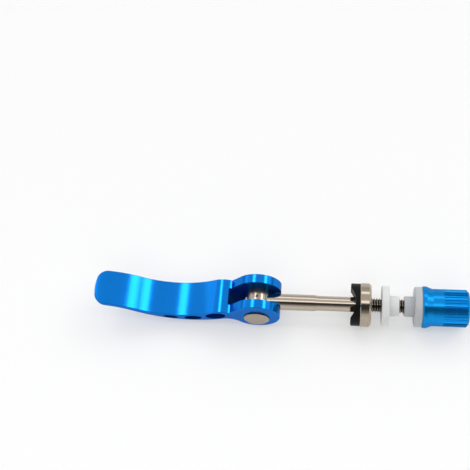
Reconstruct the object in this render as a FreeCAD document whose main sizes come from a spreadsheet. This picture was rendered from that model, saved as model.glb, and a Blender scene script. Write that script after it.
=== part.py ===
import FreeCAD, Part
import math
import os
import re

import Sketcher

# Quick release skewer of a bicycle's seat clamp, lying on a table with its lever in line.
# The shaft lies along X, with the lever towards -X and the nut towards +X, and the cross pin lies along Y.
# Lengths are millimetres and turns are degrees. A "reach" is measured from the pin's axis towards the tip.

SIZES = {
    # cross pin
    "pin_diameter": 10.4,
    "pin_stand_out": 1.2,
    "pin_chamfer_width": 1.0,
    "pin_chamfer_height": 0.7,
    "pin_running_gap": 0.05,
    "dimple_diameter": 1.3,
    "dimple_depth": 0.6,
    # skewer shaft
    "tenon_diameter": 6.0,
    "tenon_gap": 0.02,
    "tenon_inset": 0.4,
    "shoulder_depth": 0.5,
    "collar_diameter": 6.7,
    "collar_end": 23.0,
    "collar_taper": 1.7,
    "shank_diameter": 6.1,
    "thread_diameter": 6.0,
    "thread_start": 42.0,
    "thread_length": 37.5,
    "thread_chamfer": 0.8,
    # lever, with its two cam ears
    "lever_width": 14.9,
    "cam_radius": 9.5,
    "cam_offset": 1.25,
    "neck_radius": 6.0,
    "belly_radius": 40.0,
    "belly_reach": 28.0,
    "belly_drop": 5.1,
    "tail_run": 38.8,
    "tail_under_radius": 34.0,
    "tail_top_radius": 37.4,
    "tip_height": 9.6,
    "tip_thickness": 1.7,
    "tip_end_radius": 22.0,
    "tip_corner_radius": 4.6,
    "dish_radius": 30.0,
    "dish_drop": 0.6,
    "hump_radius": 8.0,
    "hump_height": 4.3,
    "hump_run": 3.4,
    "notch_gap": 1.4,
    "slot_clearance": 0.35,
    "slot_past_notch": 1.3,
    "slot_floor_gap": 0.5,
    "lever_edge": 0.25,
    # lightening holes, each behind a wall, with a rim of metal above and below
    "large_hole_wall": 0.5,
    "large_hole_length": 7.5,
    "large_hole_rim": 1.25,
    "middle_hole_wall": 3.3,
    "middle_hole_length": 5.4,
    "middle_hole_rim": 0.9,
    "small_hole_wall": 4.6,
    "small_hole_length": 4.0,
    "small_hole_rim": 0.8,
    # cam seat and the steel washer that backs it
    "seat_station": 37.9,
    "seat_inset": 0.3,
    "seat_height": 3.8,
    "seat_edge": 0.3,
    "seat_turn": 105.0,
    "groove_clearance": 0.1,
    "groove_depth": 2.1,
    "spigot_diameter": 13.0,
    "spigot_height": 1.5,
    "spigot_gap": 0.1,
    "washer_diameter": 17.8,
    "washer_thickness": 4.3,
    "washer_bevel": 0.8,
    "washer_edge": 0.25,
    "collar_clearance": 0.15,
    # pair of bushes
    "bush_gap": 4.2,
    "flange_diameter": 16.2,
    "flange_thickness": 3.0,
    "flange_edge": 0.3,
    "sleeve_diameter": 8.3,
    "sleeve_length": 4.0,
    "sleeve_edge": 0.3,
    "sleeve_gap": 2.0,
    "bush_clearance": 0.1,
    # nut
    "nut_length": 18.2,
    "nut_diameter": 15.0,
    "lip_height": 0.9,
    "lip_thickness": 1.6,
    "lip_edge": 0.4,
    "flare_length": 2.4,
    "nut_chamfer": 0.9,
    "nut_countersink": 0.8,
    "nut_thread_gap": 0.05,
    "flute_count": 36.0,
    "flute_width": 0.86,
    "flute_floor": 0.36,
    "flute_depth": 0.34,
    "flute_start": 8.2,
}

# places worked out from the sizes
PIN_RADIUS = "pin_diameter / 2"
PIN_END = "lever_width / 2 + pin_stand_out"
COLLAR_RADIUS = "collar_diameter / 2"
SHOULDER = "sqrt((pin_diameter / 2) ^ 2 - (collar_diameter / 2) ^ 2) - shoulder_depth"
THREAD_END = "thread_start + thread_length"
SHAFT_WIDEST = "max(collar_diameter; shank_diameter; thread_diameter)"
SHANK_WIDEST = "max(shank_diameter; thread_diameter)"
SEAT_BORE = f"{SHAFT_WIDEST} / 2 + collar_clearance"
BUSH_BORE = f"{SHANK_WIDEST} / 2 + bush_clearance"
SLOT_HALF = f"{SHAFT_WIDEST} / 2 + slot_clearance"
LEVER_REACH = "belly_reach + tail_run"
NOTCH_REACH = "cam_radius + notch_gap"
SLOT_REACH = f"{NOTCH_REACH} + slot_past_notch"
SLOT_FLOOR = f"-({PIN_RADIUS} + slot_floor_gap)"
SLOT_CENTRE = f"{SLOT_REACH} + {SLOT_FLOOR}"
WASHER_STATION = "seat_station + seat_height"
LEVER_BUSH_STATION = f"{WASHER_STATION} + washer_thickness + bush_gap"
BUSH_LENGTH = "flange_thickness + sleeve_length"
NUT_STATION = f"{LEVER_BUSH_STATION} + 2 * ({BUSH_LENGTH}) + sleeve_gap"
NUT_RADIUS = "nut_diameter / 2"
LIP_RADIUS = "nut_diameter / 2 + lip_height"
GROOVE_RADIUS = "cam_radius + groove_clearance"
THREAD_BORE = "thread_diameter / 2 + nut_thread_gap"

# heights of the lever's lines at a reach: the hump's, the dish's and the belly's
HUMP_REACH = f"({NOTCH_REACH} + hump_run)"
DISH_RISE = "(dish_radius - dish_drop)"
DISH_RUN = f"sqrt((hump_radius + dish_radius) ^ 2 - ({DISH_RISE} - hump_height + hump_radius) ^ 2)"
HUMP_LINE = f"hump_height - hump_radius + sqrt(hump_radius ^ 2 - (({{reach}}) - {HUMP_REACH}) ^ 2)"
DISH_LINE = f"{DISH_RISE} - sqrt(dish_radius ^ 2 - (({{reach}}) - {HUMP_REACH} - {DISH_RUN}) ^ 2)"
BELLY_LINE = "belly_radius - belly_drop - sqrt(belly_radius ^ 2 - (({reach}) - belly_reach) ^ 2)"

# each lightening hole with the line above it, in order from the slot to the tip
LIGHTENING_HOLES = (("large", HUMP_LINE), ("middle", DISH_LINE), ("small", DISH_LINE))

# the frame's origin is under the middle of the whole length, on the table that the widest disc touches
ORIGIN_X = f"({NUT_STATION} + nut_length - ({LEVER_REACH})) / 2"
TABLE_DROP = "max(washer_diameter; flange_diameter; nut_diameter + 2 * lip_height) / 2"

# a cut starts or ends this far outside the solid
OVERCUT = 1.0

# lengths that differ by less than this are the same
SAME = 1e-3

FULL_TURN = 360.0

# a sketch's own numbers for the ends of a curve, its centre and its two axes
START, END, CENTRE = range(1, 4)
ACROSS_AXIS, UP_AXIS = range(-1, -3, -1)
ROOT_POINT = (ACROSS_AXIS, START)

doc = FreeCAD.newDocument("quick_release_skewer")


def fill_sheet():
    """Write each size into a cell of its own, under its name as alias."""
    sheet = doc.addObject("Spreadsheet::Sheet", "Sizes")
    for row, (name, size) in enumerate(SIZES.items(), start=1):
        sheet.set(f"A{row}", name)
        sheet.set(f"B{row}", str(size))
        sheet.setAlias(f"B{row}", name)
    doc.recompute()
    return sheet


sheet = fill_sheet()


def bound(formula):
    """The expression on the sheet's cells that a formula of size names stands for."""
    return re.sub(r"[a-z]\w*", lambda word: f"Sizes.{word[0]}" if word[0] in SIZES else word[0], formula)


def value(formula):
    """What a formula of size names comes to now."""
    return float(sheet.evalExpression(bound(formula)))


def new_body(label):
    """An empty body that is named for its piece."""
    body = doc.addObject("PartDesign::Body", label)
    body.Label = label
    return body


def place(body, station="0", spin=None, axis=FreeCAD.Vector(1, 0, 0)):
    """Put a body's own origin at a station on the shaft's axis, spun about one of the frame's axes."""
    if spin is not None:
        body.Placement = FreeCAD.Placement(FreeCAD.Vector(), FreeCAD.Rotation(axis, value(spin)))
        body.setExpression("Placement.Rotation.Angle", f"({bound(spin)}) * 1 deg")
    body.setExpression("Placement.Base.x", bound(f"{station} - ({ORIGIN_X})"))
    body.setExpression("Placement.Base.z", bound(TABLE_DROP))


def new_sketch(body, role, name):
    """A sketch on one of its own body's origin planes."""
    sketch = body.newObject("Sketcher::SketchObject", name)
    plane = next(item for item in body.Origin.OriginFeatures if item.Role == role)
    sketch.AttachmentSupport = (plane, "")
    sketch.MapMode = "FlatFace"
    return sketch


def dimension(sketch, kind, where, formula):
    """Add a dimension that follows the sheet."""
    number = sketch.addConstraint(Sketcher.Constraint(kind, *where, value(formula)))
    sketch.setExpression(f"Constraints[{number}]", bound(formula))


def fix_point(sketch, geometry, end, across, up):
    """Hold a point of a sketch at two formulas, measured from the sketch's origin."""
    for kind, formula, axis in (("DistanceX", across, UP_AXIS), ("DistanceY", up, ACROSS_AXIS)):
        if formula == "0":
            sketch.addConstraint(Sketcher.Constraint("PointOnObject", geometry, end, axis))
        else:
            dimension(sketch, kind, (*ROOT_POINT, geometry, end), formula)


def add_lines(sketch, spots):
    """Straight lines from each point to the next."""
    return [sketch.addGeometry(Part.LineSegment(first, last)) for first, last in zip(spots, spots[1:])]


def close_loop(sketch, curves):
    """Join the end of each curve to the start of the next, and the last to the first."""
    for curve, following in zip(curves, curves[1:] + curves[:1]):
        sketch.addConstraint(Sketcher.Constraint("Coincident", curve, END, following, START))


def closed_outline(sketch, corners):
    """A closed outline of straight lines through corners that are given as formulas."""
    spots = [FreeCAD.Vector(value(across), value(up), 0) for across, up in corners]
    lines = add_lines(sketch, spots + spots[:1])
    close_loop(sketch, lines)
    for line, (across, up) in zip(lines, corners):
        fix_point(sketch, line, START, across, up)


def circle(sketch, across, up, radius):
    """A circle whose centre and radius follow the sheet."""
    centre = FreeCAD.Vector(value(across), value(up), 0)
    number = sketch.addGeometry(Part.Circle(centre, FreeCAD.Vector(0, 0, 1), value(radius)))
    fix_point(sketch, number, CENTRE, across, up)
    dimension(sketch, "Radius", (number,), radius)


def swung(body, kind, name, sketch, axis):
    """Swing a sketch right round one of its own axes, as a solid or as a cut."""
    feature = body.newObject(f"PartDesign::{kind}", name)
    feature.Profile = sketch
    feature.ReferenceAxis = (sketch, [axis])
    feature.Angle = FULL_TURN
    doc.recompute()
    return feature


def turned(body, name, corners, role="XZ_Plane", axis="H_Axis"):
    """Turn a half section about the shaft's axis, or about the axis that is named."""
    sketch = new_sketch(body, role, f"{name}_section")
    closed_outline(sketch, corners)
    return swung(body, "Revolution", name, sketch, axis)


def bored(body, name, corners, axis="H_Axis"):
    """Turn a half section about an axis of the middle plane and cut it away."""
    sketch = new_sketch(body, "XZ_Plane", f"{name}_section")
    closed_outline(sketch, corners)
    return swung(body, "Groove", name, sketch, axis)


def cut_through(body, name, sketch):
    """Cut a sketch's outline right through the body, both ways."""
    feature = body.newObject("PartDesign::Pocket", name)
    feature.Profile = sketch
    feature.SideType = "Symmetric"
    feature.Type = "ThroughAll"
    doc.recompute()
    return feature


def edge_names(shape, test):
    """Names of a shape's edges that pass a test."""
    return [f"Edge{number}" for number, edge in enumerate(shape.Edges, start=1) if test(edge)]


def near(number, target):
    """Whether two lengths are the same."""
    return abs(number - target) < SAME


def make_cross_pin():
    """Barrel through both ears, drilled across for the shaft, with a stake mark on its top."""
    body = new_body("cross_pin")
    chamfer_start = f"{PIN_END} - pin_chamfer_height"
    face_radius = f"{PIN_RADIUS} - pin_chamfer_width"
    turned(body, "barrel", [
        ("0", f"-({PIN_END})"),
        (face_radius, f"-({PIN_END})"),
        (PIN_RADIUS, f"-({chamfer_start})"),
        (PIN_RADIUS, chamfer_start),
        (face_radius, PIN_END),
        ("0", PIN_END),
    ], role="XY_Plane", axis="V_Axis")
    tenon_bore = "tenon_diameter / 2 + tenon_gap"
    collar_bore = f"{COLLAR_RADIUS} + tenon_gap"
    outside = f"{PIN_RADIUS} + {OVERCUT}"
    bored(body, "shaft_bore", [
        (f"-({outside})", "0"),
        (f"-({outside})", tenon_bore),
        (SHOULDER, tenon_bore),
        (SHOULDER, collar_bore),
        (outside, collar_bore),
        (outside, "0"),
    ])
    bored(body, "stake_mark", [
        ("0", f"{PIN_RADIUS} - dimple_depth"),
        ("dimple_diameter / 2", PIN_RADIUS),
        ("dimple_diameter / 2", outside),
        ("0", outside),
    ], axis="V_Axis")
    place(body)
    return body


def make_skewer_shaft():
    """Turned shaft: tenon in the pin, thick collar, short taper, shank and threaded end."""
    body = new_body("skewer_shaft")
    tenon_start = f"tenon_inset - {PIN_RADIUS}"
    tenon_radius = "tenon_diameter / 2"
    thread_radius = "thread_diameter / 2"
    shank_radius = "shank_diameter / 2"
    turned(body, "turned_bar", [
        (tenon_start, "0"),
        (tenon_start, tenon_radius),
        (SHOULDER, tenon_radius),
        (SHOULDER, COLLAR_RADIUS),
        ("collar_end", COLLAR_RADIUS),
        ("collar_end + collar_taper", shank_radius),
        ("thread_start", shank_radius),
        ("thread_start", thread_radius),
        (f"{THREAD_END} - thread_chamfer", thread_radius),
        (THREAD_END, f"{thread_radius} - thread_chamfer"),
        (THREAD_END, "0"),
    ])
    place(body)
    return body


def beyond(start, end, distance):
    """The point at a distance from start, on the way to end."""
    return start + (end - start).normalize() * distance


def centre_between(first, first_distance, second, second_distance, side):
    """The point at given distances from two others, left (1) or right (-1) of the way between them."""
    way = second - first
    along = (first_distance ** 2 - second_distance ** 2 + way.Length ** 2) / (2 * way.Length)
    aside = math.sqrt(first_distance ** 2 - along ** 2)
    way.normalize()
    return first + way * along + FreeCAD.Vector(-way.y, way.x, 0) * (side * aside)


def arc(sketch, centre, radius, start, end):
    """An arc that runs anticlockwise from start to end."""
    first = math.atan2(start.y - centre.y, start.x - centre.x)
    last = math.atan2(end.y - centre.y, end.x - centre.x)
    if last <= first:
        last += 2 * math.pi
    ring = Part.Circle(centre, FreeCAD.Vector(0, 0, 1), radius)
    return sketch.addGeometry(Part.ArcOfCircle(ring, first, last))


def lever_profile(sketch):
    """Side view of the lever: eccentric cam, hump behind a sharp notch, dished top and swept tail."""
    size = {name: value(name) for name in SIZES}
    reach = value(LEVER_REACH)
    cam = FreeCAD.Vector(0, size["cam_offset"], 0)
    belly = FreeCAD.Vector(-size["belly_reach"], size["belly_radius"] - size["belly_drop"], 0)
    hump = FreeCAD.Vector(-value(HUMP_REACH), size["hump_height"] - size["hump_radius"], 0)
    dish = FreeCAD.Vector(hump.x - value(DISH_RUN), value(DISH_RISE), 0)
    tip_top = FreeCAD.Vector(-reach, size["tip_height"], 0)
    tip_bottom = tip_top - FreeCAD.Vector(0, size["tip_thickness"], 0)
    neck = centre_between(cam, size["cam_radius"] + size["neck_radius"],
                          belly, size["belly_radius"] + size["neck_radius"], 1)
    under = centre_between(belly, size["belly_radius"] + size["tail_under_radius"],
                           tip_bottom, size["tail_under_radius"], 1)
    crown = centre_between(dish, size["dish_radius"] + size["tail_top_radius"],
                           tip_top, size["tail_top_radius"], 1)
    notch_rise = math.sqrt(size["hump_radius"] ** 2 - size["hump_run"] ** 2)
    notch = hump + FreeCAD.Vector(size["hump_run"], notch_rise, 0)
    notch_way = math.atan2(notch.y - cam.y, notch.x - cam.x)
    flat_way = notch_way - math.acos(size["cam_radius"] / (notch - cam).Length)
    flat_end = cam + FreeCAD.Vector(math.cos(flat_way), math.sin(flat_way), 0) * size["cam_radius"]

    cam_neck = beyond(cam, neck, size["cam_radius"])
    neck_belly = beyond(belly, neck, size["belly_radius"])
    belly_tail = beyond(belly, under, size["belly_radius"])
    crown_dish = beyond(dish, crown, size["dish_radius"])
    dish_hump = beyond(dish, hump, size["dish_radius"])

    cam_arc = arc(sketch, cam, size["cam_radius"], cam_neck, flat_end)
    neck_arc = arc(sketch, neck, size["neck_radius"], cam_neck, neck_belly)
    belly_arc = arc(sketch, belly, size["belly_radius"], belly_tail, neck_belly)
    under_arc = arc(sketch, under, size["tail_under_radius"], belly_tail, tip_bottom)
    tip_line = sketch.addGeometry(Part.LineSegment(tip_bottom, tip_top))
    crown_arc = arc(sketch, crown, size["tail_top_radius"], crown_dish, tip_top)
    dish_arc = arc(sketch, dish, size["dish_radius"], crown_dish, dish_hump)
    hump_arc = arc(sketch, hump, size["hump_radius"], notch, dish_hump)
    notch_flat = sketch.addGeometry(Part.LineSegment(notch, flat_end))

    for joint in (
        ("Tangent", cam_arc, START, neck_arc, START),
        ("Tangent", neck_arc, END, belly_arc, END),
        ("Tangent", belly_arc, START, under_arc, START),
        ("Coincident", under_arc, END, tip_line, START),
        ("Coincident", tip_line, END, crown_arc, END),
        ("Tangent", crown_arc, START, dish_arc, START),
        ("Tangent", dish_arc, END, hump_arc, END),
        ("Coincident", hump_arc, START, notch_flat, START),
        ("Tangent", notch_flat, END, cam_arc, END),
        ("Vertical", tip_line),
    ):
        sketch.addConstraint(Sketcher.Constraint(*joint))
    for curve, radius in (
        (cam_arc, "cam_radius"),
        (neck_arc, "neck_radius"),
        (belly_arc, "belly_radius"),
        (under_arc, "tail_under_radius"),
        (crown_arc, "tail_top_radius"),
        (dish_arc, "dish_radius"),
        (hump_arc, "hump_radius"),
    ):
        dimension(sketch, "Radius", (curve,), radius)
    fix_point(sketch, cam_arc, CENTRE, "0", "cam_offset")
    fix_point(sketch, belly_arc, CENTRE, "-belly_reach", "belly_radius - belly_drop")
    fix_point(sketch, tip_line, END, f"-({LEVER_REACH})", "tip_height")
    fix_point(sketch, hump_arc, CENTRE, f"-{HUMP_REACH}", "hump_height - hump_radius")
    dimension(sketch, "DistanceY", (tip_line, START, tip_line, END), "tip_thickness")
    dimension(sketch, "DistanceY", (*ROOT_POINT, dish_arc, CENTRE), DISH_RISE)
    dimension(sketch, "DistanceX", (hump_arc, CENTRE, notch_flat, START), "hump_run")


def slot_profile(sketch):
    """Side view of the fork slot: a round floor behind and under the pin, open above and towards the seat."""
    slot_end = f"cam_radius + {OVERCUT}"
    slot_top = f"{SLOT_CENTRE} + cam_radius + cam_offset"
    reach = value(SLOT_REACH)
    height = value(SLOT_CENTRE)
    back = FreeCAD.Vector(-reach, height, 0)
    low = FreeCAD.Vector(0, value(SLOT_FLOOR), 0)
    low_end = FreeCAD.Vector(value(slot_end), low.y, 0)
    top_end = FreeCAD.Vector(low_end.x, value(slot_top), 0)
    top_back = FreeCAD.Vector(-reach, top_end.y, 0)
    floor_arc = arc(sketch, FreeCAD.Vector(0, height, 0), reach, back, low)
    floor, end, top, rear = add_lines(sketch, [low, low_end, top_end, top_back, back])
    for joint in (
        ("Tangent", floor_arc, END, floor, START),
        ("Coincident", floor, END, end, START),
        ("Coincident", end, END, top, START),
        ("Coincident", top, END, rear, START),
        ("Tangent", rear, END, floor_arc, START),
        ("Horizontal", floor),
        ("Vertical", end),
        ("Horizontal", top),
        ("Vertical", rear),
    ):
        sketch.addConstraint(Sketcher.Constraint(*joint))
    fix_point(sketch, floor_arc, CENTRE, "0", SLOT_CENTRE)
    dimension(sketch, "Radius", (floor_arc,), SLOT_REACH)
    fix_point(sketch, end, END, slot_end, slot_top)


def oval(sketch, across, up, length, width, slope):
    """An ellipse whose long axis climbs towards +X with a slope."""
    middle = FreeCAD.Vector(value(across), value(up), 0)
    along = FreeCAD.Vector(1, value(slope), 0).normalize()
    upward = FreeCAD.Vector(-along.y, along.x, 0)
    long_end = middle + along * (value(length) / 2)
    short_end = middle + upward * (value(width) / 2)
    number = sketch.addGeometry(Part.Ellipse(long_end, short_end, middle))
    sketch.exposeInternalGeometry(number)
    long_axis, short_axis = number + 1, number + 2
    fix_point(sketch, number, CENTRE, across, up)
    dimension(sketch, "Distance", (long_axis,), length)
    dimension(sketch, "Distance", (short_axis,), width)
    line = sketch.Geometry[long_axis]
    end = END if (line.EndPoint - middle).dot(along) > 0 else START
    half_rise = f"({length}) / 2 * ({slope}) / sqrt(1 + ({slope}) ^ 2)"
    dimension(sketch, "DistanceY", (number, CENTRE, long_axis, end), half_rise)


def middle_height(top_line, reach):
    """Height halfway between one of the lever's top lines and its belly line, at a reach."""
    return f"({top_line.format(reach=reach)} + {BELLY_LINE.format(reach=reach)}) / 2"


def make_lever():
    """Lever cut from one bar: swept profile, forked by a slot, bored for the pin and lightened by holes."""
    body = new_body("lever")
    profile = new_sketch(body, "XZ_Plane", "lever_side_view")
    lever_profile(profile)
    bar = body.newObject("PartDesign::Pad", "lever_bar")
    bar.Profile = profile
    bar.SideType = "Symmetric"
    bar.setExpression("Length", bound("lever_width"))
    doc.recompute()

    slot = new_sketch(body, "XZ_Plane", "slot_side_view")
    slot_profile(slot)
    fork = body.newObject("PartDesign::Pocket", "fork_slot")
    fork.Profile = slot
    fork.SideType = "Symmetric"
    fork.setExpression("Length", bound(f"2 * ({SLOT_HALF})"))
    doc.recompute()

    bore = new_sketch(body, "XZ_Plane", "pin_bore_circle")
    circle(bore, "0", "0", f"{PIN_RADIUS} + pin_running_gap")
    cut_through(body, "pin_bore", bore)

    holes = new_sketch(body, "XZ_Plane", "lightening_ovals")
    last_end = SLOT_REACH
    for hole, top_line in LIGHTENING_HOLES:
        near_end = f"{last_end} + {hole}_hole_wall"
        length = f"{hole}_hole_length"
        reach = f"{near_end} + {length} / 2"
        depth = f"{top_line.format(reach=reach)} - ({BELLY_LINE.format(reach=reach)})"
        near_rise = middle_height(top_line, f"{reach} - {length} / 4")
        far_rise = middle_height(top_line, f"{reach} + {length} / 4")
        slope = f"({near_rise} - {far_rise}) / ({length} / 2)"
        width = f"{depth} - 2 * {hole}_hole_rim"
        oval(holes, f"-({reach})", middle_height(top_line, reach), length, width, slope)
        last_end = f"{near_end} + {length}"
    cut_through(body, "lightening_holes", holes)

    tip = cut_tip_end(body)
    tip_limit = -value(LEVER_REACH) / 2
    corners = edge_names(tip.Shape, lambda edge: (
        on_side(edge) and near(edge.BoundBox.XLength, 0) and edge.BoundBox.XMax < tip_limit))
    tip_corners = body.newObject("PartDesign::Fillet", "tip_corners")
    tip_corners.Base = (tip, corners)
    tip_corners.setExpression("Radius", bound("tip_corner_radius"))
    doc.recompute()

    shape = tip_corners.Shape
    outline = [edge for side in filter(on_side, shape.Faces) for edge in side.OuterWire.Edges]
    edge_break = body.newObject("PartDesign::Chamfer", "edge_break")
    edge_break.Base = (tip_corners, edge_names(shape, lambda edge: any(map(edge.isSame, outline))))
    edge_break.setExpression("Size", bound("lever_edge"))
    doc.recompute()
    place(body)
    return body


def on_side(item):
    """Whether an edge or a face lies in one of the lever's two flat sides."""
    box = item.BoundBox
    return near(box.YLength, 0) and near(abs(box.Center.y), value("lever_width / 2"))


def cut_tip_end(body):
    """Curve the tip's end, as seen from above."""
    sketch = new_sketch(body, "XY_Plane", "tip_plan")
    half = f"lever_width / 2 + {OVERCUT}"
    centre_x = f"tip_end_radius - ({LEVER_REACH})"
    outside = f"-({LEVER_REACH} + {OVERCUT})"
    edge_x = f"{centre_x} - sqrt(tip_end_radius ^ 2 - ({half}) ^ 2)"
    centre = FreeCAD.Vector(value(centre_x), 0, 0)
    top = FreeCAD.Vector(value(edge_x), value(half), 0)
    bottom = FreeCAD.Vector(top.x, -top.y, 0)
    far_top = FreeCAD.Vector(value(outside), top.y, 0)
    far_bottom = FreeCAD.Vector(far_top.x, -top.y, 0)
    end_arc = arc(sketch, centre, value("tip_end_radius"), top, bottom)
    lines = add_lines(sketch, [bottom, far_bottom, far_top, top])
    close_loop(sketch, [end_arc] + lines)
    fix_point(sketch, end_arc, CENTRE, centre_x, "0")
    dimension(sketch, "Radius", (end_arc,), "tip_end_radius")
    dimension(sketch, "DistanceY", (*ROOT_POINT, end_arc, START), half)
    dimension(sketch, "DistanceY", (*ROOT_POINT, end_arc, END), f"-({half})")
    fix_point(sketch, lines[1], START, outside, f"-({half})")
    fix_point(sketch, lines[1], END, outside, half)
    return cut_through(body, "tip_end", sketch)


def make_cam_seat():
    """Moulded disc with a groove for the cam on its face and a spigot behind."""
    body = new_body("cam_seat")
    outer = "washer_diameter / 2 - seat_inset"
    spigot = "spigot_diameter / 2"
    turned(body, "seat_disc", [
        ("0", SEAT_BORE),
        ("0", f"{outer} - seat_edge"),
        ("seat_edge", outer),
        ("seat_height", outer),
        ("seat_height", spigot),
        ("seat_height + spigot_height", spigot),
        ("seat_height + spigot_height", SEAT_BORE),
    ])
    groove = new_sketch(body, "XZ_Plane", "groove_circle")
    circle(groove, f"groove_depth - ({GROOVE_RADIUS})", "0", GROOVE_RADIUS)
    cut_through(body, "cam_groove", groove)
    place(body, "seat_station", "seat_turn")
    return body


def make_steel_washer():
    """Thick steel washer, recessed for the seat's spigot and bevelled towards the bush."""
    body = new_body("steel_washer")
    outer = "washer_diameter / 2"
    recess = "spigot_diameter / 2 + spigot_gap"
    recess_floor = "spigot_height + spigot_gap"
    turned(body, "washer_ring", [
        ("0", recess),
        ("0", f"{outer} - washer_edge"),
        ("washer_edge", outer),
        ("washer_thickness - washer_bevel", outer),
        ("washer_thickness", f"{outer} - washer_bevel"),
        ("washer_thickness", SEAT_BORE),
        (recess_floor, SEAT_BORE),
        (recess_floor, recess),
    ])
    place(body, WASHER_STATION)
    return body


def make_bush(label, station, turn):
    """Top hat bush: a flange that bears on the clamp's lug and a sleeve that enters its hole."""
    body = new_body(label)
    outer = "flange_diameter / 2"
    sleeve = "sleeve_diameter / 2"
    turned(body, f"{label}_hat", [
        ("0", BUSH_BORE),
        ("0", f"{outer} - flange_edge"),
        ("flange_edge", outer),
        ("flange_thickness - flange_edge", outer),
        ("flange_thickness", f"{outer} - flange_edge"),
        ("flange_thickness", sleeve),
        (f"{BUSH_LENGTH} - sleeve_edge", sleeve),
        (BUSH_LENGTH, f"{sleeve} - sleeve_edge"),
        (BUSH_LENGTH, BUSH_BORE),
    ])
    place(body, station, turn, FreeCAD.Vector(0, 0, 1))
    return body


def make_nut():
    """Thumb nut: flared lip, plain band, fluted grip and a threaded bore right through."""
    body = new_body("nut")
    grip_end = "nut_length - nut_chamfer"
    turned(body, "nut_blank", [
        ("nut_countersink", THREAD_BORE),
        ("0", f"{THREAD_BORE} + nut_countersink"),
        ("0", f"{LIP_RADIUS} - lip_edge"),
        ("lip_edge", LIP_RADIUS),
        ("lip_thickness", LIP_RADIUS),
        ("lip_thickness + flare_length", NUT_RADIUS),
        (grip_end, NUT_RADIUS),
        ("nut_length", f"{NUT_RADIUS} - nut_chamfer"),
        ("nut_length", f"{THREAD_BORE} + nut_countersink"),
        ("nut_length - nut_countersink", THREAD_BORE),
    ])
    cut_flutes(body)
    place(body, NUT_STATION)
    return body


def cut_flutes(body):
    """Cut flutes with sloping sides along the nut's grip, evenly round it, and open at its outer end."""
    sketch = new_sketch(body, "YZ_Plane", "flute_section")
    sketch.setExpression("AttachmentOffset.Base.z", bound("flute_start"))
    floor = f"{NUT_RADIUS} - flute_depth"
    rim = f"{NUT_RADIUS} + flute_depth"
    rim_half = "flute_width - flute_floor / 2"
    closed_outline(sketch, [
        (f"-({rim_half})", rim),
        ("-flute_floor / 2", floor),
        ("flute_floor / 2", floor),
        (rim_half, rim),
    ])
    flute = body.newObject("PartDesign::Pocket", "flute")
    flute.Profile = sketch
    flute.Type = "ThroughAll"
    flute.Reversed = True
    doc.recompute()

    flutes = body.newObject("PartDesign::PolarPattern", "flutes")
    flutes.Originals = [flute]
    flutes.Axis = (sketch, ["N_Axis"])
    flutes.Angle = FULL_TURN
    flutes.setExpression("Occurrences", bound("round(flute_count)"))
    body.Tip = flutes
    doc.recompute()


def check(bodies):
    """Stop if any object failed, or if a piece isn't one sound solid."""
    for item in doc.Objects:
        if {"Invalid", "Error"} & set(item.State):
            raise RuntimeError(f"{item.Name} failed: {item.State}")
    for body in bodies:
        shape = body.Shape
        if shape.isNull() or not shape.isValid() or len(shape.Solids) != 1:
            raise RuntimeError(f"{body.Label} isn't one sound solid")


bodies = [
    make_cross_pin(),
    make_skewer_shaft(),
    make_lever(),
    make_cam_seat(),
    make_steel_washer(),
    make_bush("lever_side_bush", LEVER_BUSH_STATION, "0"),
    make_bush("nut_side_bush", NUT_STATION, "180"),
    make_nut(),
]
doc.recompute()
check(bodies)
os.makedirs("parts", exist_ok=True)
for body in bodies:
    body.Shape.exportStep(f"parts/{body.Label}.step")
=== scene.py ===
import math

import bmesh
import bpy
from bpy.props import FloatProperty, FloatVectorProperty, IntProperty, PointerProperty
from bpy.types import Operator, Panel, PropertyGroup
from mathutils import Matrix, Quaternion, Vector


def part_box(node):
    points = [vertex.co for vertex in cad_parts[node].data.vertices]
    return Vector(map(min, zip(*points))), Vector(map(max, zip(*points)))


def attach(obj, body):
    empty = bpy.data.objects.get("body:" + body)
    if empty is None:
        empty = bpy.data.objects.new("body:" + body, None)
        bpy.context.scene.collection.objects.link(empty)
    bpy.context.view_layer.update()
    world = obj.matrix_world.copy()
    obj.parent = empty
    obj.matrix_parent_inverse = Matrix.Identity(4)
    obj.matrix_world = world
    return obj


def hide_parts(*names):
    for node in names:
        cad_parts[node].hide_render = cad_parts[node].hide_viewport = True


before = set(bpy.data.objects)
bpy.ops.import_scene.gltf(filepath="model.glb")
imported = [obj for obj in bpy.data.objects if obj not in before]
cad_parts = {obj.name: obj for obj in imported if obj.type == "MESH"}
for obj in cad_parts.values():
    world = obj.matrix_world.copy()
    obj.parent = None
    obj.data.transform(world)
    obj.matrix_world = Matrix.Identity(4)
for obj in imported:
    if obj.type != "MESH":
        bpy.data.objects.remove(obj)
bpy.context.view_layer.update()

bl_info = {
    "name": "Quick release skewer",
    "version": (1, 0, 0),
    "blender": (4, 5, 0),
    "location": "3D View > Sidebar > Skewer",
    "description": "Cuts the ovals and threads of a seat clamp's skewer, "
                   "finishes it and sets the stage",
    "category": "Object",
}

PIN_START, PIN_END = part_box("cross_pin")
PIN = (PIN_START + PIN_END) / 2
SHAFT_START, SHAFT_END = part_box("skewer_shaft")
NUT_START, NUT_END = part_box("nut")
LEVER_START, LEVER_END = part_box("lever")

# points nearer than this are one point, and faces that bend less than this are one surface
WELD = 1e-7
SMOOTH_BEND = math.radians(28.0)

# steps round a turned piece and round an oval
TURNED_STEPS = 96
OVAL_STEPS = 72

# turns that a thread is wound past its ends, before it is cut square
SPARE_TURNS = 2

# half widths of the flats of a thread and of the foot of the nut's ridge, in pitches
ROOT_HALF = 0.12
CREST_HALF = 0.06
RIDGE_FOOT_HALF = 0.40

# how far the nut's ridge is sunk in the wall of its bore, and how far it stays off the shaft
RIDGE_SINK = 0.0001
RIDGE_CLEARANCE = 0.0001

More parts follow.
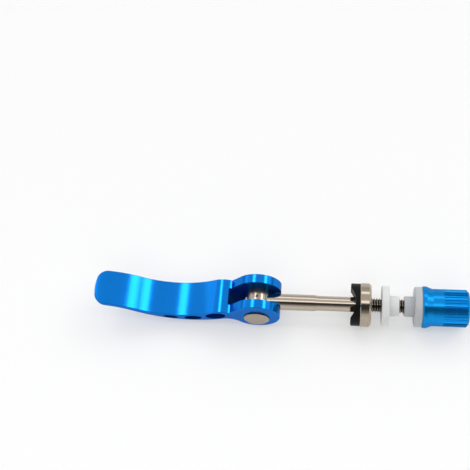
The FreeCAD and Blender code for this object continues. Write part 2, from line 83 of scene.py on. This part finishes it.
# the painted shade in the thread's roots starts at a share of the thread's depth, and goes in to a
# share of its root's radius
ROOT_SHADE_START = 0.1
ROOT_SHADE_END = 0.98

# grains in a metre along X, Y and Z: a finish has its lines along the way with few grains
LEVER_LINES = (1700.0, 45.0, 1700.0)
NUT_LINES = (1700.0, 60.0, 60.0)
BORE_LINES = (1900.0, 60.0, 60.0)
SHAFT_LINES = (1900.0, 40.0, 40.0)
WASHER_LINES = (1900.0, 60.0, 60.0)
PIN_LINES = (900.0, 1700.0, 900.0)

# height of the lines on metal, and the roughness that they add
LINE_HEIGHT = 0.00001
LINE_ROUGHNESS = 0.08

# brightness of the room by the angle from overhead, in degrees, with the camera's side first
ROOM_BANDS = (
    (-90.0, 0.38),
    (-74.0, 0.38),
    (-64.0, 0.18),
    (-52.0, 0.10),
    (-44.0, 0.03),
    (-20.0, 0.03),
    (-15.0, 0.25),
    (-12.0, 1.00),
    (-3.0, 1.00),
    (2.0, 0.40),
    (34.0, 0.38),
    (40.0, 0.98),
    (48.0, 0.98),
    (54.0, 0.34),
    (70.0, 0.33),
    (90.0, 0.20),
)
ROOM_STRENGTH = 2.2
ROOM_ENDS = 0.6
WALL_BRIGHTNESS = 0.42

# the floor's width, its second shade, and the share of plain white that is seen on it
FLOOR_WIDTH = 12.0
FLOOR_SHADE = 0.99
FLOOR_WHITE = 0.4

# the photograph's camera, with its lens and sensor in millimetres
CAMERA_LENS = 65.11
CAMERA_SENSOR = 36.0
CAMERA_NEAR = 0.01
CAMERA_PLACE = Vector((0.025, -0.1353, 0.33164))
CAMERA_TARGET = Vector((-0.0208, 0.03028, 0.0089))
CAMERA_ROLL = math.radians(-12.14)


def length(name, description, default):
    """A property that holds a length in metres."""
    return FloatProperty(name=name, description=description, default=default, unit="LENGTH",
                         precision=5)


def oval(name, description, default):
    """A property that holds an oval's reach from the pin, its length and the rim round it."""
    return FloatVectorProperty(name=name, description=description, default=default, size=3,
                               unit="LENGTH", precision=5)


def colour(name, description, default):
    """A property that holds a linear colour."""
    return FloatVectorProperty(name=name, description=description, default=default, size=3,
                               subtype="COLOR", min=0.0, max=1.0)


class SkewerSizes(PropertyGroup):
    """Sizes of the lever's ovals, of the turned shaft and of the two threads."""

    large_oval: oval("Large oval", "Reach, length and rim of the oval by the slot",
                     (0.01695, 0.0086, 0.0010))
    middle_oval: oval("Middle oval", "Reach, length and rim of the middle oval",
                      (0.02675, 0.0072, 0.0007))
    small_oval: oval("Small oval", "Reach, length and rim of the oval by the tail",
                     (0.0361, 0.0061, 0.00065))
    tenon_radius: length("Tenon radius", "Radius of the tenon in the cross pin", 0.0030)
    tenon_length: length("Tenon length", "From the shaft's end to its shoulder in the pin", 0.008277)
    collar_radius: length("Collar radius", "Radius of the thick part by the lever",
                          (SHAFT_END.z - SHAFT_START.z) / 2)
    collar_end: length("Collar end", "From the pin's axis to the taper", 0.0230)
    taper_length: length("Taper length", "Length of the taper to the shank", 0.0017)
    shank_radius: length("Shank radius", "Radius of the plain shank", 0.00305)
    thread_start: length("Thread start", "From the pin's axis to the thread", 0.0420)
    thread_radius: length("Thread radius", "Radius of the thread's crest", 0.0030)
    thread_pitch: length("Thread pitch", "From one turn to the next", 0.0010)
    thread_depth: length("Thread depth", "From crest to root", 0.00061)
    thread_chamfer: length("Thread chamfer", "Chamfer of the threaded end", 0.0008)
    bore_radius: length("Nut bore radius", "Radius of the nut's bore", 0.00305)
    bore_countersink: length("Nut countersink", "Depth of the countersink at each end of the bore",
                             0.0008)
    thread_steps: IntProperty(name="Thread steps", description="Steps in one turn of a thread",
                              default=40, min=12, max=96)


class SkewerColours(PropertyGroup):
    """Colours of the finishes."""

    lever_dye: colour("Lever's dye", "Blue of the lever's anodising", (0.007, 0.215, 0.735))
    lever_deep: colour("Lever's deep dye", "Darker blue of the lever's anodising",
                       (0.004, 0.175, 0.625))
    nut_dye: colour("Nut's dye", "Blue of the nut's anodising", (0.008, 0.290, 0.740))
    nut_deep: colour("Nut's deep dye", "Darker blue of the nut's anodising", (0.005, 0.232, 0.628))
    dye_edge: colour("Dye edge", "Tint of the anodising where it is seen at a slant",
                     (0.550, 0.500, 0.550))
    steel: colour("Steel", "Bright turned steel", (0.530, 0.470, 0.400))
    steel_dull: colour("Dull steel", "Duller streaks of the steel", (0.350, 0.285, 0.215))
    # painted shade, near black, that darkens the roots of the shaft's thread
    thread_root_shade: colour("Thread root shade", "Dark painted shade in the roots of the thread", (0.030, 0.025, 0.020))
    plastic: colour("Black plastic", "Moulded black plastic", (0.003, 0.003, 0.003))
    plastic_worn: colour("Rubbed plastic", "Where the black plastic has been rubbed",
                         (0.010, 0.010, 0.009))
    nylon: colour("Nylon", "Natural white nylon", (0.730, 0.735, 0.735))
    # the greyer nylon is both the cloudy tone and painted shade, faintly blue from the nut's
    # reflection
    nylon_tone_and_shade: colour("Grey nylon and painted shade", "Greyer nylon for the cloudy tone and the painted shade by the nut", (0.400, 0.418, 0.435))
    floor: colour("Floor", "Pale floor", (0.920, 0.920, 0.920))


class Value:
    """A shader value that takes part in Python arithmetic, one Math node a step."""

    def __init__(self, shader, socket):
        self.shader = shader
        self.socket = socket

    def step(self, operation, first, second):
        return self.shader.node("ShaderNodeMath", {"operation": operation}, {0: first, 1: second})

    def __add__(self, other):
        return self.step("ADD", self, other)

    def __radd__(self, other):
        return self.step("ADD", other, self)

    def __sub__(self, other):
        return self.step("SUBTRACT", self, other)

    def __rsub__(self, other):
        return self.step("SUBTRACT", other, self)

    def __mul__(self, other):
        return self.step("MULTIPLY", self, other)

    def __rmul__(self, other):
        return self.step("MULTIPLY", other, self)

    def __gt__(self, other):
        return self.step("GREATER_THAN", self, other)

    def __lt__(self, other):
        return self.step("LESS_THAN", self, other)


class Shader:
    """The node tree of a material or of the world."""

    def __init__(self, owner):
        owner.use_nodes = True
        self.tree = owner.node_tree
        self.tree.nodes.clear()

    def node(self, kind, settings=None, sockets=None, out=0):
        """Add a node, make its settings, fill its sockets, and give one of its outputs."""
        node = self.tree.nodes.new(kind)
        for name, setting in (settings or {}).items():
            if name == "stops":
                ramp = node.color_ramp
                while len(ramp.elements) < len(setting):
                    ramp.elements.new(1.0)
                for element, (position, shade) in zip(ramp.elements, setting):
                    element.position = position
                    element.color = shade
            else:
                setattr(node, name, setting)
        for name, content in (sockets or {}).items():
            if isinstance(content, Value):
                self.tree.links.new(content.socket, node.inputs[name])
            else:
                node.inputs[name].default_value = content
        return Value(self, node.outputs[out]) if len(node.outputs) else None

    def place(self):
        """Coordinates of the piece itself."""
        return self.node("ShaderNodeTexCoord", out="Object")

    def part(self, vector, axis):
        """X, Y or Z of a vector."""
        return self.node("ShaderNodeSeparateXYZ", {}, {"Vector": vector}, out=axis)

    def noise(self, grains, detail):
        """Noise with so many grains in a metre along X, Y and Z."""
        spot = self.node("ShaderNodeMapping", {}, {"Vector": self.place(), "Scale": grains})
        return self.node("ShaderNodeTexNoise", {}, {
            "Vector": spot, "Scale": 1.0, "Detail": detail, "Roughness": 0.55}, out="Fac")

    def blend(self, amount, first, second):
        """A mix of two colours."""
        ends = [end if isinstance(end, Value) else (*end, 1.0) for end in (first, second)]
        return self.node("ShaderNodeMix", {"data_type": "RGBA"}, {
            "Factor": amount, "A": ends[0], "B": ends[1]}, out="Result")

    def fade(self, value, begin, end, first, last, shape="LINEAR"):
        """A level that goes from first to last while a value goes from begin to end."""
        return self.node("ShaderNodeMapRange", {"interpolation_type": shape}, {
            "Value": value, "From Min": begin, "From Max": end, "To Min": first, "To Max": last})

    def thread_roots(self, start, crest, root):
        """The mask of the painted shade: 1 in the roots of the shaft's thread, 0 on its crests, its
        end and before its start.
        """
        spot = self.node("ShaderNodeVectorMath", {"operation": "SUBTRACT"}, {
            0: self.place(), 1: PIN})
        across = self.node("ShaderNodeVectorMath", {"operation": "MULTIPLY"}, {
            0: spot, 1: (0.0, 1.0, 1.0)})
        radius = self.node("ShaderNodeVectorMath", {"operation": "LENGTH"}, {0: across}, out="Value")
        deep = self.fade(radius, begin=crest, end=root, first=0.0, last=1.0)
        return deep * (self.part(spot, "X") > start) * (radius > ROOT_SHADE_END * root)

    def bump(self, height, distance, strength):
        """A normal that follows a height, in metres."""
        return self.node("ShaderNodeBump", {}, {
            "Height": height, "Distance": distance, "Strength": strength})

    def surface(self, sockets):
        """The Principled shader on the surface."""
        shader = self.node("ShaderNodeBsdfPrincipled", {}, sockets)
        self.node("ShaderNodeOutputMaterial", {}, {"Surface": shader})


def new_finish(name):
    """A new material and its shader."""
    material = bpy.data.materials.new(name)
    return material, Shader(material)


def even(grains):
    """The same number of grains along X, Y and Z."""
    return (grains, grains, grains)


def anodised(name, grains, deep, dye, matt):
    """Dyed anodising, more or less matt, with the fine lines that drawing or turning leaves."""
    colours = bpy.context.scene.skewer_colours
    material, shader = new_finish(name)
    lines = shader.noise(grains, detail=4.0)
    cloud = shader.noise(even(160.0), detail=2.0)
    brightness = 0.55 * lines + 0.45 * cloud
    shader.surface({
        "Base Color": shader.blend(brightness, deep, dye),
        "Metallic": 0.86,
        "Roughness": matt + LINE_ROUGHNESS * lines,
        "Specular IOR Level": 0.1,
        "Specular Tint": (*colours.dye_edge, 1.0),
        "Normal": shader.bump(lines, distance=LINE_HEIGHT, strength=0.2),
    })
    return material


def turned_steel(name, grains, polish, matt, thread=None):
    """Turned steel, more or less bright and matt, with fine rings, and painted shade in a thread's
    roots.
    """
    colours = bpy.context.scene.skewer_colours
    material, shader = new_finish(name)
    rings = shader.noise(grains, detail=4.0)
    cloud = shader.noise(even(300.0), detail=3.0)
    brightness = 0.3 * rings + 0.2 * cloud + polish
    metal = shader.blend(brightness, colours.steel_dull, colours.steel)
    if thread:
        # painted shade: the roots of the thread are darkened nearly to black
        metal = shader.blend(shader.thread_roots(*thread), metal, colours.thread_root_shade)
    shader.surface({
        "Base Color": metal,
        "Metallic": 1.0,
        "Roughness": matt + LINE_ROUGHNESS * rings,
        "Normal": shader.bump(rings, distance=LINE_HEIGHT, strength=0.3),
    })
    return material


def moulded_plastic(name):
    """Black moulded plastic, with the fine grain of its mould and a rubbed bloom."""
    colours = bpy.context.scene.skewer_colours
    material, shader = new_finish(name)
    grain = shader.noise(even(4200.0), detail=2.0)
    bloom = shader.noise(even(380.0), detail=3.0)
    rubbed = 0.55 * bloom * grain
    shader.surface({
        "Base Color": shader.blend(rubbed, colours.plastic, colours.plastic_worn),
        "Roughness": 0.40 + 0.2 * bloom,
        "Specular IOR Level": 0.10,
        "Normal": shader.bump(grain, distance=0.00004, strength=0.3),
    })
    return material


def moulded_nylon(name, white):
    """Natural nylon, faintly cloudy and slightly waxy; the less white, the more painted shade in the
    greyer nylon.
    """
    colours = bpy.context.scene.skewer_colours
    material, shader = new_finish(name)
    cloud = shader.noise(even(260.0), detail=3.0)
    grain = shader.noise(even(2600.0), detail=2.0)
    # where white is low, the greyer nylon is painted shade more than cloudy tone
    whiteness = 0.3 * cloud + white
    shader.surface({
        "Base Color": shader.blend(whiteness, colours.nylon_tone_and_shade, colours.nylon),
        "Roughness": 0.38 + 0.14 * grain,
        "Subsurface Weight": 0.2,
        "Subsurface Radius": (0.0012, 0.0012, 0.0012),
        "Subsurface Scale": 1.0,
        "Normal": shader.bump(grain, distance=0.00003, strength=0.2),
    })
    return material


def dress(node, material):
    """Give a CAD node or a new piece its finish."""
    slots = node.data.materials
    slots.clear()
    slots.append(material)


def pick(piece):
    """Select one object alone and make it active."""
    bpy.ops.object.select_all(action="DESELECT")
    piece.select_set(True)
    bpy.context.view_layer.objects.active = piece


def drawn_line(name, spots, closed=False):
    """A line of edges in the XZ plane, drawn from one point through (x, radius) spots."""
    bpy.ops.object.select_all(action="DESELECT")
    bpy.ops.mesh.primitive_plane_add(size=0.001)
    piece = bpy.context.object
    piece.name = name
    bpy.ops.object.mode_set(mode="EDIT")
    bpy.ops.mesh.select_all(action="SELECT")
    bpy.ops.mesh.merge(type="CENTER")
    points = [Vector((x, 0.0, radius)) for x, radius in spots]
    bpy.ops.transform.translate(value=points[0])
    for before, after in zip(points, points[1:]):
        bpy.ops.mesh.extrude_vertices_move(TRANSFORM_OT_translate={"value": after - before})
    if closed:
        mesh = bmesh.from_edit_mesh(piece.data)
        ends = (points[0], points[-1])
        for vertex in mesh.verts:
            vertex.select_set(any((vertex.co - end).length < WELD for end in ends))
        bmesh.update_edit_mesh(piece.data)
        bpy.ops.mesh.edge_face_add()
    bpy.ops.mesh.select_all(action="SELECT")
    return piece


def close_shell():
    """Weld the edited mesh's seams and turn its faces outwards."""
    bpy.ops.mesh.select_all(action="SELECT")
    bpy.ops.mesh.remove_doubles(threshold=WELD)
    bpy.ops.mesh.normals_make_consistent(inside=False)


def turned_solid(name, spots):
    """A solid turned about the X axis from a half section that starts and ends on it."""
    piece = drawn_line(name, spots)
    bpy.ops.mesh.spin(steps=TURNED_STEPS, angle=2 * math.pi, center=(0.0, 0.0, 0.0),
                      axis=(1.0, 0.0, 0.0))
    close_shell()
    bpy.ops.object.mode_set(mode="OBJECT")
    return piece


def wound(piece, pitch, turns, steps):
    """Wind a drawn section round the X axis as a right-hand screw."""
    bpy.ops.object.mode_set(mode="OBJECT")
    pick(piece)
    bpy.ops.object.modifier_add(type="SCREW")
    screw = piece.modifiers[-1]
    screw.axis = "X"
    screw.angle = 2 * math.pi
    screw.screw_offset = pitch
    screw.iterations = turns
    screw.steps = steps
    screw.render_steps = steps
    bpy.ops.object.modifier_apply(modifier=screw.name)


def cut_square(piece, start, end):
    """Cut a wound piece square at both ends and close it there."""
    pick(piece)
    bpy.ops.object.mode_set(mode="EDIT")
    close_shell()
    for x, inner in ((start, True), (end, False)):
        bpy.ops.mesh.select_all(action="SELECT")
        bpy.ops.mesh.bisect(plane_co=(x, 0.0, 0.0), plane_no=(1.0, 0.0, 0.0), use_fill=True,
                            clear_inner=inner, clear_outer=not inner, threshold=WELD)
    close_shell()
    bpy.ops.object.mode_set(mode="OBJECT")


def combine(piece, tool, operation):
    """Join a tool to a piece, cut it out or keep what they share, and take the tool away."""
    pick(piece)
    bpy.ops.object.modifier_add(type="BOOLEAN")
    boolean = piece.modifiers[-1]
    boolean.operation = operation
    boolean.object = tool
    boolean.solver = "EXACT"
    bpy.ops.object.modifier_apply(modifier=boolean.name)
    bpy.data.objects.remove(tool)


def finish_solid(piece, material):
    """Smooth a piece, make sure that it is a closed solid and give it its finish."""
    pick(piece)
    bpy.ops.object.shade_smooth_by_angle(angle=SMOOTH_BEND)
    mesh = bmesh.new()
    mesh.from_mesh(piece.data)
    closed = all(edge.is_manifold for edge in mesh.edges)
    outward = mesh.calc_volume(signed=True) > 0.0
    mesh.free()
    if not (closed and outward):
        raise RuntimeError(f"{piece.name} isn't a closed solid")
    dress(piece, material)


def settle(piece, name):
    """Name a piece and move it from the X axis to the shaft's own axis."""
    pick(piece)
    piece.name = name
    bpy.ops.object.mode_set(mode="EDIT")
    bpy.ops.mesh.select_all(action="SELECT")
    bpy.ops.transform.translate(value=PIN)
    bpy.ops.object.mode_set(mode="OBJECT")


def lever_heights(x):
    """Heights of the lever's underside and top at a place along it."""
    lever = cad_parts["lever"]
    shapes = bpy.context.evaluated_depsgraph_get()
    heights = []
    for far in (-1.0, 1.0):
        found, spot, _, _ = lever.ray_cast(
            Vector((x, 0.0, far)), Vector((0.0, 0.0, -far)), depsgraph=shapes)
        if not found:
            raise RuntimeError("an oval lies off the lever")
        heights.append(spot.z)
    return heights


def cut_oval(piece, reach, oval_length, rim):
    """Cut an oval through the lever that follows its slope and leaves a rim above and below."""
    x = PIN.x - reach
    low, high = lever_heights(x)
    first, last = (sum(lever_heights(x + side * oval_length / 4)) / 2 for side in (-1, 1))
    slope = math.atan2(last - first, oval_length / 2)
    through = LEVER_END.y - LEVER_START.y
    bpy.ops.object.select_all(action="DESELECT")
    bpy.ops.mesh.primitive_cylinder_add(
        vertices=OVAL_STEPS, radius=1.0, depth=2.0,
        location=(x, 0.0, (low + high) / 2),
        rotation=(math.pi / 2, -slope, 0.0),
        scale=(oval_length / 2, (high - low) / 2 - rim, through))
    combine(piece, bpy.context.object, "DIFFERENCE")


def thread_section(sizes, start):
    """One pitch of the shaft's thread, from root to root."""
    pitch = sizes.thread_pitch
    crest = sizes.thread_radius
    root = crest - sizes.thread_depth
    return [
        (start, root),
        (start + pitch * ROOT_HALF, root),
        (start + pitch * (0.5 - CREST_HALF), crest),
        (start + pitch * (0.5 + CREST_HALF), crest),
        (start + pitch * (1.0 - ROOT_HALF), root),
        (start + pitch, root),
    ]


class SKEWER_OT_lighten_lever(Operator):
    """Cut the lever's lightening ovals to their full length and anodise it"""

    bl_idname = "skewer.lighten_lever"
    bl_label = "Lighten the lever"

    def execute(self, context):
        sizes = context.scene.skewer_sizes
        colours = context.scene.skewer_colours
        lever = bpy.data.objects.new("lightened_lever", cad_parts["lever"].data.copy())
        context.scene.collection.objects.link(lever)
        pick(lever)
        bpy.ops.mesh.customdata_custom_splitnormals_clear()
        bpy.ops.object.mode_set(mode="EDIT")
        close_shell()
        bpy.ops.object.mode_set(mode="OBJECT")
        for measures in (sizes.large_oval, sizes.middle_oval, sizes.small_oval):
            cut_oval(lever, *measures)
        finish_solid(lever, anodised(
            "anodised_lever", LEVER_LINES, colours.lever_deep, colours.lever_dye, matt=0.12))
        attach(lever, "lever")
        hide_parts("lever")
        return {"FINISHED"}


class SKEWER_OT_cut_shaft(Operator):
    """Turn the skewer's shaft and cut the thread on its end"""

    bl_idname = "skewer.cut_shaft"
    bl_label = "Turn and thread the shaft"

    def execute(self, context):
        sizes = context.scene.skewer_sizes
        pitch = sizes.thread_pitch
        crest = sizes.thread_radius
        root = crest - sizes.thread_depth
        start = SHAFT_START.x - PIN.x
        end = SHAFT_END.x - PIN.x
        shoulder = start + sizes.tenon_length
        shaft = turned_solid("shaft_bar", [
            (start, 0.0),
            (start, sizes.tenon_radius),
            (shoulder, sizes.tenon_radius),
            (shoulder, sizes.collar_radius),
            (sizes.collar_end, sizes.collar_radius),
            (sizes.collar_end + sizes.taper_length, sizes.shank_radius),
            (sizes.thread_start, sizes.shank_radius),
            (sizes.thread_start, 0.0),
        ])
        thread_from = sizes.thread_start - SPARE_TURNS * pitch
        turns = math.ceil((end - thread_from) / pitch) + SPARE_TURNS
        thread = drawn_line("thread", thread_section(sizes, thread_from - pitch))
        wound(thread, pitch, turns, sizes.thread_steps)
        cut_square(thread, thread_from + pitch, end)
        outside = 2 * crest
        blank = turned_solid("thread_blank", [
            (thread_from, 0.0),
            (thread_from, outside),
            (end - sizes.thread_chamfer - crest, outside),
            (end, root),
            (end, 0.0),
        ])
        combine(thread, blank, "INTERSECT")
        combine(shaft, thread, "UNION")
        settle(shaft, "threaded_shaft")
        # where the painted shade in the thread's roots begins
        root_shade_from = crest - ROOT_SHADE_START * sizes.thread_depth
        finish_solid(shaft, turned_steel(
            "turned_shaft_steel", SHAFT_LINES, polish=0.4, matt=0.08,
            thread=(sizes.thread_start, root_shade_from, root)))
        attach(shaft, "skewer")
        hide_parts("skewer_shaft")
        return {"FINISHED"}


class SKEWER_OT_tap_nut(Operator):
    """Cut the thread in the nut's bore"""

    bl_idname = "skewer.tap_nut"
    bl_label = "Tap the nut"

    def execute(self, context):
        sizes = context.scene.skewer_sizes
        colours = context.scene.skewer_colours
        pitch = sizes.thread_pitch
        first = NUT_START.x - PIN.x + sizes.bore_countersink
        last = NUT_END.x - PIN.x - sizes.bore_countersink
        turns_before = math.floor((first - sizes.thread_start) / pitch) - SPARE_TURNS
        start = sizes.thread_start + turns_before * pitch
        foot = sizes.bore_radius + RIDGE_SINK
        top = sizes.thread_radius - sizes.thread_depth + RIDGE_CLEARANCE
        thread = drawn_line("nut_ridge", [
            (start - pitch * RIDGE_FOOT_HALF, foot),
            (start - pitch * CREST_HALF, top),
            (start + pitch * CREST_HALF, top),
            (start + pitch * RIDGE_FOOT_HALF, foot),
        ], closed=True)
        turns = math.ceil((last - start) / pitch) + SPARE_TURNS
        wound(thread, pitch, turns, sizes.thread_steps)
        cut_square(thread, first, last)
        settle(thread, "nut_thread")
        finish_solid(thread, anodised(
            "anodised_thread", BORE_LINES, colours.nut_deep, colours.nut_dye, matt=0.20))
        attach(thread, "nut")
        return {"FINISHED"}


class SKEWER_OT_finish_nut(Operator):
    """Give the nut its blue anodising"""

    bl_idname = "skewer.finish_nut"
    bl_label = "Anodise the nut"

    def execute(self, context):
        colours = context.scene.skewer_colours
        dress(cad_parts["nut"], anodised(
            "anodised_nut", NUT_LINES, colours.nut_deep, colours.nut_dye, matt=0.18))
        return {"FINISHED"}


class SKEWER_OT_finish_steel(Operator):
    """Give the cross pin and the washer their turned steel"""

    bl_idname = "skewer.finish_steel"
    bl_label = "Finish the steel pieces"

    def execute(self, context):
        dress(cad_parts["cross_pin"], turned_steel(
            "turned_pin_steel", PIN_LINES, polish=0.0, matt=0.18))
        dress(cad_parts["steel_washer"], turned_steel(
            "turned_washer_steel", WASHER_LINES, polish=0.1, matt=0.08))
        return {"FINISHED"}


class SKEWER_OT_finish_plastic(Operator):
    """Give the cam seat its black plastic and the bushes their nylon, with painted shade on the bush
    by the nut
    """

    bl_idname = "skewer.finish_plastic"
    bl_label = "Finish the plastic pieces"

    def execute(self, context):
        dress(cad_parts["cam_seat"], moulded_plastic("moulded_seat_plastic"))
        # painted shade: the bush by the nut is drawn mostly in the greyer, faintly blue nylon for
        # the nut's shadow and reflection
        for bush, white in (("lever_side_bush", 0.7), ("nut_side_bush", 0.0)):
            dress(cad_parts[bush], moulded_nylon(f"moulded_{bush}", white))
        return {"FINISHED"}


def lay_floor():
    """A wide pale floor under the object."""
    bpy.ops.object.select_all(action="DESELECT")
    bpy.ops.mesh.primitive_plane_add(size=FLOOR_WIDTH)
    floor = bpy.context.object
    floor.name = "floor"
    material, shader = new_finish("pale_floor")
    cloud = shader.noise(even(3.0), detail=2.0)
    pale = bpy.context.scene.skewer_colours.floor
    matt = shader.node("ShaderNodeBsdfPrincipled", {}, {
        "Base Color": shader.blend(cloud, pale, [FLOOR_SHADE * part for part in pale]),
        "Roughness": 0.9,
        "Specular IOR Level": 0.0,
    })
    white = shader.node("ShaderNodeEmission", {}, {
        "Color": (1.0, 1.0, 1.0, 1.0), "Strength": 1.0})
    camera, glossy, through = (shader.node("ShaderNodeLightPath", out=ray) for ray in (
        "Is Camera Ray", "Is Glossy Ray", "Is Transmission Ray"))
    shown = shader.node("ShaderNodeMixShader", {}, {
        "Fac": FLOOR_WHITE * (camera + glossy + through), 1: matt, 2: white})
    shader.node("ShaderNodeOutputMaterial", {}, {"Surface": shown})
    dress(floor, material)


def light_world():
    """A room with a pale wall and two bright strips overhead along the shaft, dim at its ends."""
    world = bpy.data.worlds.new("studio")
    bpy.context.scene.world = world
    shader = Shader(world)
    way = shader.node("ShaderNodeTexCoord", out="Generated")
    along, across, height = (shader.part(way, axis) for axis in "XYZ")
    turn = shader.node("ShaderNodeMath", {"operation": "ARCTAN2"}, {0: across, 1: height})
    bands = shader.node("ShaderNodeValToRGB", {"stops": [
        (0.5 + degrees / 360.0, (level, level, level, 1.0)) for degrees, level in ROOM_BANDS
    ]}, {"Fac": turn * (0.5 / math.pi) + 0.5}, out="Color")
    ends = shader.fade(along * along, begin=0.4, end=0.8, first=1.0, last=ROOM_ENDS,
                       shape="SMOOTHSTEP")
    wall = shader.fade(height, begin=0.08, end=0.20, first=1.0, last=0.0, shape="SMOOTHSTEP")
    level = (1.0 - wall) * bands * ends + WALL_BRIGHTNESS * wall
    light = shader.node("ShaderNodeBackground", {}, {"Color": level, "Strength": ROOM_STRENGTH})
    shader.node("ShaderNodeOutputWorld", {}, {"Surface": light})


def add_softbox(name, lean, back, distance, size, radiance):
    """A lamp that leans along the shaft and back from it, in degrees, and looks at the pin."""
    lean, back = math.radians(lean), math.radians(back)
    lamp = bpy.data.lights.new(name, "AREA")
    lamp.shape = "RECTANGLE"
    lamp.size, lamp.size_y = size
    lamp.energy = radiance * size[0] * size[1] * math.pi
    holder = bpy.data.objects.new(name, lamp)
    bpy.context.scene.collection.objects.link(holder)
    across = Vector((math.cos(lean), 0.0, -math.sin(lean)))
    upright = Vector((math.sin(lean), 0.0, math.cos(lean)))
    way = upright * math.cos(back) + Vector((0.0, math.sin(back), 0.0))
    turn = Matrix((across, way.cross(across), way)).transposed()
    holder.location = PIN + way * distance
    holder.rotation_mode = "QUATERNION"
    holder.rotation_quaternion = turn.to_quaternion()
    return holder


def aim_camera():
    """The photograph's camera."""
    camera = bpy.data.cameras.new("camera")
    camera.lens = CAMERA_LENS
    camera.sensor_width = CAMERA_SENSOR
    camera.clip_start = CAMERA_NEAR
    holder = bpy.data.objects.new("camera", camera)
    bpy.context.scene.collection.objects.link(holder)
    look = CAMERA_TARGET - CAMERA_PLACE
    roll = Quaternion((0.0, 0.0, 1.0), CAMERA_ROLL)
    holder.location = CAMERA_PLACE
    holder.rotation_mode = "QUATERNION"
    holder.rotation_quaternion = look.to_track_quat("-Z", "Y") @ roll
    bpy.context.scene.camera = holder


class SKEWER_OT_set_stage(Operator):
    """Lay the floor, hang the lamps and aim the camera"""

    bl_idname = "skewer.set_stage"
    bl_label = "Set the stage"

    def execute(self, context):
        context.scene.view_settings.view_transform = "Standard"
        lay_floor()
        light_world()
        add_softbox("left_softbox", lean=-19.0, back=23.0, distance=3.0, size=(0.58, 0.73),
                    radiance=4.6)
        add_softbox("right_softbox", lean=39.3, back=23.0, distance=3.0, size=(0.60, 0.73),
                    radiance=4.8)
        fill = add_softbox("front_fill", lean=0.0, back=-45.0, distance=0.9, size=(1.0, 0.5),
                           radiance=1.2)
        fill.visible_glossy = False
        aim_camera()
        return {"FINISHED"}


STEPS = (
    SKEWER_OT_lighten_lever,
    SKEWER_OT_cut_shaft,
    SKEWER_OT_tap_nut,
    SKEWER_OT_finish_nut,
    SKEWER_OT_finish_steel,
    SKEWER_OT_finish_plastic,
    SKEWER_OT_set_stage,
)


class SKEWER_PT_steps(Panel):
    """The steps that dress the skewer"""

    bl_idname = "SKEWER_PT_steps"
    bl_label = "Quick release skewer"
    bl_space_type = "VIEW_3D"
    bl_region_type = "UI"
    bl_category = "Skewer"

    def draw(self, context):
        for step in STEPS:
            self.layout.operator(step.bl_idname)
        for group in (context.scene.skewer_sizes, context.scene.skewer_colours):
            box = self.layout.box()
            for name in group.__annotations__:
                box.prop(group, name)


CLASSES = (SkewerSizes, SkewerColours, *STEPS, SKEWER_PT_steps)


def register():
    for item in CLASSES:
        bpy.utils.register_class(item)
    bpy.types.Scene.skewer_sizes = PointerProperty(type=SkewerSizes)
    bpy.types.Scene.skewer_colours = PointerProperty(type=SkewerColours)


def unregister():
    del bpy.types.Scene.skewer_colours
    del bpy.types.Scene.skewer_sizes
    for item in reversed(CLASSES):
        bpy.utils.unregister_class(item)


def main():
    """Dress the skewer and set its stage."""
    register()
    bpy.ops.skewer.lighten_lever()
    bpy.ops.skewer.cut_shaft()
    bpy.ops.skewer.tap_nut()
    bpy.ops.skewer.finish_nut()
    bpy.ops.skewer.finish_steel()
    bpy.ops.skewer.finish_plastic()
    bpy.ops.skewer.set_stage()


if __name__ == "__main__":
    main()
